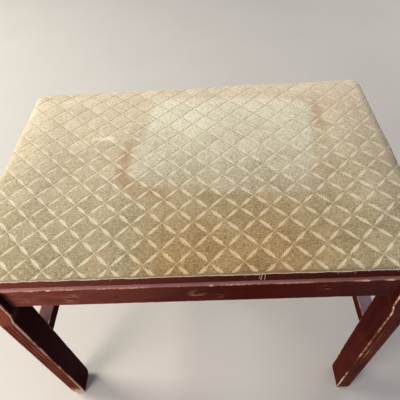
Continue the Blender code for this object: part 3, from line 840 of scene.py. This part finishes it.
def flat_cloth(columns, rows):
    """Flat places (s, t) of a grid that fills the cloth's rounded outline, corner to corner of its arcs."""
    half_s = shoulder_x + WRAP_LENGTH
    half_t = shoulder_y + WRAP_LENGTH
    radius = shoulder_radius + WRAP_LENGTH

    def side(parts, half_long, half_short):
        """Points along one side as (along, across), from mid-arc to mid-arc."""
        arc = radius * math.pi / 4
        straight = 2 * (half_long - radius)
        run = np.asarray(parts) * (2 * arc + straight)
        first = -math.pi / 4 + np.clip(run, 0, arc) / radius
        last = np.clip(run - arc - straight, 0, arc) / radius
        along = -(half_long - radius) + np.clip(run - arc, 0, straight)
        along = along + radius * np.sin(first) * (run < arc)
        along = along + radius * np.sin(last) * (run > arc + straight)
        across = (half_short - radius) + radius * np.where(run < arc, np.cos(first), np.cos(last))
        return along, across

    u = np.linspace(0, 1, columns + 1)
    v = np.linspace(0, 1, rows + 1)
    long_s, long_t = side(u, half_s, half_t)
    short_t, short_s = side(v, half_t, half_s)
    bottom = np.stack([long_s, -long_t], -1)[:, None]
    top = np.stack([long_s, long_t], -1)[:, None]
    left = np.stack([-short_s, short_t], -1)[None]
    right = np.stack([short_s, short_t], -1)[None]
    uu = u[:, None, None]
    vv = v[None, :, None]
    corner = [bottom[0, 0], bottom[-1, 0], top[0, 0], top[-1, 0]]
    blend = (1 - uu) * (1 - vv) * corner[0] + uu * (1 - vv) * corner[1]
    blend = blend + (1 - uu) * vv * corner[2] + uu * vv * corner[3]
    return (1 - vv) * bottom + vv * top + (1 - uu) * left + uu * right - blend


def closed_pad(name, points):
    """A closed pad from a grid of points: the cloth on top, its raw edge turned in, and a flat underside.

    The numbers of the grid's outer points come with it.
    """
    columns, rows = points.shape[:2]
    number = np.arange(columns * rows).reshape(columns, rows)
    faces = np.stack([number[:-1, :-1], number[1:, :-1], number[1:, 1:], number[:-1, 1:]], -1)
    rim = np.concatenate([number[:, 0], number[-1, 1:], number[-2::-1, -1], number[0, -2:0:-1]])
    rim_points = points.reshape(-1, 3)[rim]
    inward = np.roll(rim_points, 1, 0) - np.roll(rim_points, -1, 0)
    inward = np.stack([inward[:, 1], -inward[:, 0]], -1)
    inward /= np.linalg.norm(inward, axis=1)[:, None]
    inner = rim_points.copy()
    inner[:, :2] += inward * RAW_EDGE_TURN
    raised = inner.copy()
    raised[:, 2] = pad_bottom_z
    start = columns * rows
    count = len(rim)
    every = [tuple(p) for p in np.concatenate([points.reshape(-1, 3), inner, raised])]
    faces = [tuple(face) for face in faces.reshape(-1, 4).tolist()]
    for i in range(count):
        j = (i + 1) % count
        faces.append((int(rim[j]), int(rim[i]), start + i, start + j))
        faces.append((start + j, start + i, start + count + i, start + count + j))
    faces.append(tuple(start + count + i for i in range(count))[::-1])
    mesh = bpy.data.meshes.new(name)
    mesh.from_pydata(every, [], faces)
    return mesh, rim


def swollen_form():
    """The pad pressed out against its cover: a coarse closed pad, held at its skirt and blown up as cloth.

    It starts a little low, because it swells. It comes back as a tree that finds its nearest point.
    """
    points, past = draped(flat_cloth(*FORM_GRID))
    points = points - np.array([0, 0, FORM_SHRINK]) * (past < WRAP_LENGTH * 0.5)[..., None]
    form = new_object("pad_form", closed_pad("pad_form", points)[0])
    remesh = form.modifiers.new("voxels", "REMESH")
    remesh.mode = "VOXEL"
    remesh.voxel_size = FORM_VOXEL
    evaluated = form.evaluated_get(bpy.context.evaluated_depsgraph_get())
    coarse = bpy.data.meshes.new_from_object(evaluated)
    form.modifiers.clear()
    form.data = coarse
    held = form.vertex_groups.new(name="held")
    held.add([v.index for v in coarse.vertices if v.co.z < bulge_z], 1.0, "REPLACE")
    cloth = form.modifiers.new("press", "CLOTH").settings
    cloth.quality = 5
    cloth.mass = 0.3
    cloth.tension_stiffness = 60
    cloth.compression_stiffness = 60
    cloth.bending_stiffness = 5
    cloth.use_pressure = True
    cloth.uniform_pressure_force = 4
    cloth.vertex_group_mass = "held"
    cloth.effector_weights.gravity = 0
    for step in range(1, PRESS_FRAMES + 1):
        scene.frame_set(step)
    pressed = form.evaluated_get(bpy.context.evaluated_depsgraph_get()).to_mesh()
    tree = BVHTree.FromPolygons([v.co.copy() for v in pressed.vertices],
                                [list(p.vertices) for p in pressed.polygons])
    scene.frame_set(1)
    bpy.data.objects.remove(form)
    return tree


def grid_normals(points):
    """The direction out of the cloth at each point of its grid."""
    normal = np.cross(np.gradient(points, axis=0), np.gradient(points, axis=1))
    return normal / np.maximum(np.linalg.norm(normal, axis=-1), 1e-12)[..., None]


def blurred(values, rounds):
    """A grid of values, each eased towards its neighbours."""
    for _ in range(rounds):
        padded = np.pad(values, 1, mode="edge")
        values = (padded[1:-1, 1:-1] * 4 + padded[:-2, 1:-1] + padded[2:, 1:-1]
                  + padded[1:-1, :-2] + padded[1:-1, 2:]) / 8
    return values


def lattice_relief(flat):
    """Height of the puffed diamonds, and of the creases and spindles between them, in metres."""
    near = []
    for along, across, shift in LATTICE_LINES:
        count = flat[..., 0] / along + flat[..., 1] / across + shift
        near.append(np.abs(count - np.round(count)))
    sunk = np.zeros(near[0].shape)
    for own, other, half_width in zip(near, near[::-1], SPINDLE_HALF_WIDTHS):
        swell = np.clip((other - SPINDLE_START) / (SPINDLE_FULL - SPINDLE_START), 0, 1)
        inside = half_width * swell - own * LATTICE_REPEAT
        sunk = np.maximum(sunk, np.clip(inside / (1.6 * MM) + 0.5, 0, 1))
    crease = np.exp(-(np.minimum(near[0], near[1]) * LATTICE_REPEAT / (1.5 * MM)) ** 2)
    start, slope = PRESSED
    pressed = np.clip(start + slope[0] * flat[..., 0] + slope[1] * flat[..., 1], 0, 1)
    puff = np.sqrt(4 * near[0] * near[1])
    return PUFF_HEIGHT * puff - SPINDLE_DEPTH * sunk * pressed - CREASE_DEPTH * crease * (1 - pressed)


def waves(place, length, width, level):
    """Smooth noise over the flat cloth, in waves of this length along it and width across it."""
    return noise.noise(Vector((place[0] / length, place[1] / width, level)))


def padded_seat():
    """The seat pad in its velour cover, replacing the padding and cover solids."""
    flat = flat_cloth(*SEAT_GRID)
    points, past = draped(flat)
    normals = grid_normals(points)
    # The cover is free on top, and tight further down its sides
    loose = 1 - np.clip((past - 0.55 * WRAP_LENGTH) / (0.3 * WRAP_LENGTH), 0, 1)
    form = swollen_form()
    swell = np.zeros(past.shape)
    for index in np.ndindex(past.shape):
        spot = Vector(points[index])
        near = form.find_nearest(spot)[0]
        swell[index] = clamp((near - spot).dot(Vector(normals[index])), -SWELL_LIMIT, SWELL_LIMIT)
    # The stuffing smooths out folds smaller than about 30 mm
    points = points + normals * (blurred(swell, SWELL_BLUR_ROUNDS) * loose)[..., None]
    normals = grid_normals(points)
    slack = np.zeros(past.shape)
    for index in np.ndindex(past.shape):
        wave = waves(flat[index], 95 * MM, 70 * MM, 3.7)
        fine = waves(flat[index], 28 * MM, 24 * MM, 9.1)
        edge = smooth(past[index], -10 * MM, 12 * MM)
        slack[index] = (0.7 * wave + 0.25 * fine + edge * 0.9 * wave) * MM
    points = points + normals * ((slack + lattice_relief(flat)) * loose)[..., None]
    # The raw edge runs unevenly
    hem = np.clip((past - 0.86 * WRAP_LENGTH) / (0.14 * WRAP_LENGTH), 0, 1)
    for index in zip(*np.nonzero(hem)):
        waver = waves(flat[index], 17 * MM, 17 * MM, 5.3) + 0.6 * waves(flat[index], 5 * MM, 5 * MM, 1.7)
        points[index][2] += RAW_EDGE_WAVER * waver * hem[index]
    mesh, rim = closed_pad("padded_seat", points)
    uv = mesh.uv_layers.new(name="cloth")
    places = flat.reshape(-1, 2)
    places = np.concatenate([places, places[rim], places[rim]])
    loops = np.zeros(len(mesh.loops), dtype=np.int32)
    mesh.loops.foreach_get("vertex_index", loops)
    uv.data.foreach_set("uv", places[loops].astype(np.float32).ravel())
    skirt = mesh.attributes.new("skirt", "FLOAT", "POINT")
    reach = np.concatenate([(past / WRAP_LENGTH).ravel(), np.ones(2 * len(rim))])
    skirt.data.foreach_set("value", np.clip(reach, 0, 1).astype(np.float32))
    mesh.shade_smooth()
    mesh.set_sharp_from_angle(angle=math.radians(60))
    seat = new_piece("padded_seat", mesh, VELOUR)
    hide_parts("seat_cover", "seat_padding")
    return seat


seat = padded_seat()


# Frayed threads along the raw edge, by a node tree

def thread_tree():
    """Threads set along a closed path, leaning out and hanging, of random length, longest at a tuft."""
    tree = bpy.data.node_groups.new("frayed_edge", "GeometryNodeTree")
    for name, kind in (("Edge", "Geometry"), ("Spacing", "Float"), ("Thread length", "Float"),
                       ("Thread radius", "Float"), ("Seed", "Int"), ("Tuft place", "Vector")):
        tree.interface.new_socket(name, in_out="INPUT", socket_type="NodeSocket" + kind)
    tree.interface.new_socket("Threads", in_out="OUTPUT", socket_type="NodeSocketGeometry")
    add = node_adder(tree, prefix="")
    given = add("NodeGroupInput").outputs
    path = add("GeometryNodeMeshToCurve", {"Mesh": given["Edge"]})
    upright = add("GeometryNodeSetCurveNormal", {"Curve": path}, mode="Z_UP")
    stops = add("GeometryNodeCurveToPoints", {"Curve": upright, "Length": given["Spacing"]}, mode="LENGTH")

    # Few threads are long, and more of them at the tuft
    length = add("FunctionNodeRandomValue", {"Min": 0.0, "Max": 1.0, "Seed": given["Seed"]},
                 data_type="FLOAT")
    long_few = add("ShaderNodeMath", length, 9.0, operation="POWER")
    size = add("ShaderNodeMath", long_few, 0.9, 0.12, operation="MULTIPLY_ADD")
    apart = add("ShaderNodeVectorMath", add("GeometryNodeInputPosition"), given["Tuft place"],
                operation="DISTANCE")
    tuft = add("ShaderNodeMapRange", {"Value": apart, "From Min": 3 * MM, "From Max": 9 * MM,
                                      "To Min": 1.6, "To Max": 0.0})
    size = add("ShaderNodeMath", tuft, length, size, operation="MULTIPLY_ADD")

    # Each leans its own way from the edge's outward direction
    other_seed = add("ShaderNodeMath", given["Seed"], 5.0, operation="ADD")
    lean = add("FunctionNodeRandomValue", {"Min": (-1.0, -1.0, -1.6), "Max": (1.0, 0.2, 1.6),
                                           "Seed": other_seed}, data_type="FLOAT_VECTOR")
    facing = add("FunctionNodeAlignRotationToVector", {"Vector": stops.outputs["Normal"]}, axis="X")
    turn = add("FunctionNodeEulerToRotation", {"Euler": lean})
    way = add("FunctionNodeRotateRotation", {"Rotation": facing, "Rotate By": turn}, rotation_space="LOCAL")

    # One thread: a bent strand with a square section
    hang = add("ShaderNodeMath", given["Thread length"], -1.0, operation="MULTIPLY")
    tip = add("ShaderNodeCombineXYZ", {"X": 0.8 * MM, "Z": hang})
    bend = (1.1 * MM, 0.6 * MM, -1.0 * MM)
    strand = add("GeometryNodeCurveQuadraticBezier", {"Resolution": 4, "Start": (0.0, 0.0, 0.0),
                                                      "Middle": bend, "End": tip})
    section = add("GeometryNodeCurvePrimitiveCircle", {"Resolution": 4, "Radius": given["Thread radius"]})
    yarn = add("GeometryNodeCurveToMesh", {"Curve": strand, "Profile Curve": section, "Fill Caps": True})
    placed = add("GeometryNodeInstanceOnPoints", {"Points": stops, "Instance": yarn, "Rotation": way,
                                                  "Scale": size})
    solid = add("GeometryNodeRealizeInstances", {"Geometry": placed})
    dressed = add("GeometryNodeSetMaterial", {"Geometry": solid, "Material": THREAD})
    add("NodeGroupOutput", {"Threads": dressed})
    return tree


def frayed_edge():
    """Threads that have come loose along the cover's raw edge."""
    stand = CLOTH_STAND - 0.3 * MM
    half_y = board_high.y + stand
    outline = rounded_section(board_high.x + stand, half_y, BOARD_CORNER_RADIUS + CLOTH_STAND,
                              steps_a=60, steps_b=40, corner_steps=12)
    count = len(outline)
    mesh = bpy.data.meshes.new("raw_edge_path")
    mesh.from_pydata([(p[0], p[1], raw_edge_z + 0.5 * MM) for p in outline],
                     [(i, (i + 1) % count) for i in range(count)], [])
    path = new_object("raw_edge_path", mesh)
    tree = thread_tree()
    nodes = path.modifiers.new("fray", "NODES")
    nodes.node_group = tree
    sizes = {"Spacing": 3.1 * MM, "Thread length": 4.5 * MM, "Thread radius": 0.22 * MM, "Seed": 4,
             "Tuft place": (0.0765, -half_y, raw_edge_z)}
    for item in tree.interface.items_tree:
        if item.in_out == "INPUT" and item.name in sizes:
            nodes[item.identifier] = sizes[item.name]
    evaluated = path.evaluated_get(bpy.context.evaluated_depsgraph_get())
    threads = bpy.data.meshes.new_from_object(evaluated)
    bpy.data.objects.remove(path)
    threads.name = "frayed_edge"
    piece = new_object("frayed_edge", threads)
    return piece


fray = frayed_edge()


# Solids that stay as they are, with their materials

KEPT_FINISHES = {"corner": BLOCK_WOOD, "dowel": DOWEL_WOOD, "screw": SCREW_STEEL}
for name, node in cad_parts.items():
    kind = name.split("_")[0]
    if kind in KEPT_FINISHES:
        node.data.materials.clear()
        node.data.materials.append(KEPT_FINISHES[kind])

for piece in wooden + [seat, fray]:
    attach(piece, "root")


# Floor, light and camera

def plain_floor():
    """A plaster floor that looks pale, and throws little light back up at the wood."""
    finish, add = new_finish("pale_plaster_floor")
    place = add("TexCoord").outputs["Object"]
    mottle = add("TexNoise", {"Vector": place, "Scale": 4.0, "Detail": 4.0})
    pale = layered(add, "#c8c5c0", (mottle, "#d0cdc9"))
    rays = add("LightPath").outputs
    seen = add("Math", rays["Is Camera Ray"], rays["Is Glossy Ray"], operation="MAXIMUM")
    seen = add("Math", seen, rays["Is Transmission Ray"], operation="MAXIMUM")
    colour = layered(add, "#3a3634", (seen, pale))
    surfaced(finish, add, {"Base Color": colour, "Roughness": 0.9})
    half = 6
    corners = [(-half, -half, 0), (half, -half, 0), (half, half, 0), (-half, half, 0)]
    mesh = bpy.data.meshes.new("floor")
    mesh.from_pydata(corners, [], [(0, 1, 2, 3)])
    floor = new_piece("floor", mesh, finish)


def soft_light(name, place, aim, size, power, colour):
    """A round lamp at a place, turned to what it is aimed at."""
    lamp = bpy.data.lights.new(name, "AREA")
    lamp.shape = "DISK"
    lamp.size = size
    lamp.energy = power
    lamp.color = linear(colour)[:3]
    holder = new_object(name, lamp)
    holder.location = place
    holder.rotation_euler = (Vector(aim) - Vector(place)).to_track_quat("-Z", "Y").to_euler()


plain_floor()
world = bpy.data.worlds.new("studio")
scene.world = world
world.use_nodes = True
world.node_tree.nodes.clear()
add_to_world = node_adder(world.node_tree)
sky = add_to_world("Background", {"Color": "#f0edff", "Strength": 0.34})
add_to_world("OutputWorld", {"Surface": sky})
soft_light("window", (-2.8, 0.8, 1.9), (0, 0, 0.4), size=1.7, power=117, colour="#fffae8")
soft_light("room", (-1.9, -1.6, 1.5), (0, 0, 0.35), size=1.5, power=26, colour="#fff9f0")
soft_light("far_side", (1.9, 1.5, 0.95), (0, 0, 0.4), size=1.4, power=10, colour="#fffaf2")
soft_light("low_lamp", (-0.62, -0.74, 0.48), (-0.15, -0.18, 0.30), size=0.3, power=2.8, colour="#fff1e2")

FOCAL_PIXELS = 380.35
IMAGE_PIXELS = 400
CAMERA_PLACE = (0.0266, -0.4020, 0.7972)
CAMERA_PITCH = math.radians(48.895)
CAMERA_YAW = math.radians(3.506)
CAMERA_ROLL = math.radians(-4.989)
lens = bpy.data.cameras.new("camera")
lens.sensor_width = 36
lens.lens = lens.sensor_width * FOCAL_PIXELS / IMAGE_PIXELS
lens.clip_start = 0.01
camera = new_object("camera", lens)
level = Matrix(((1, 0, 0), (0, 0, -1), (0, 1, 0)))
look = Matrix.Rotation(CAMERA_ROLL, 3, "Z") @ Matrix.Rotation(CAMERA_PITCH, 3, "X") @ level
look = look @ Matrix.Rotation(CAMERA_YAW, 3, "Z").transposed()
axes = Matrix((look[0], -look[1], -look[2])).transposed()
camera.matrix_world = Matrix.Translation(CAMERA_PLACE) @ axes.to_4x4()
scene.camera = camera
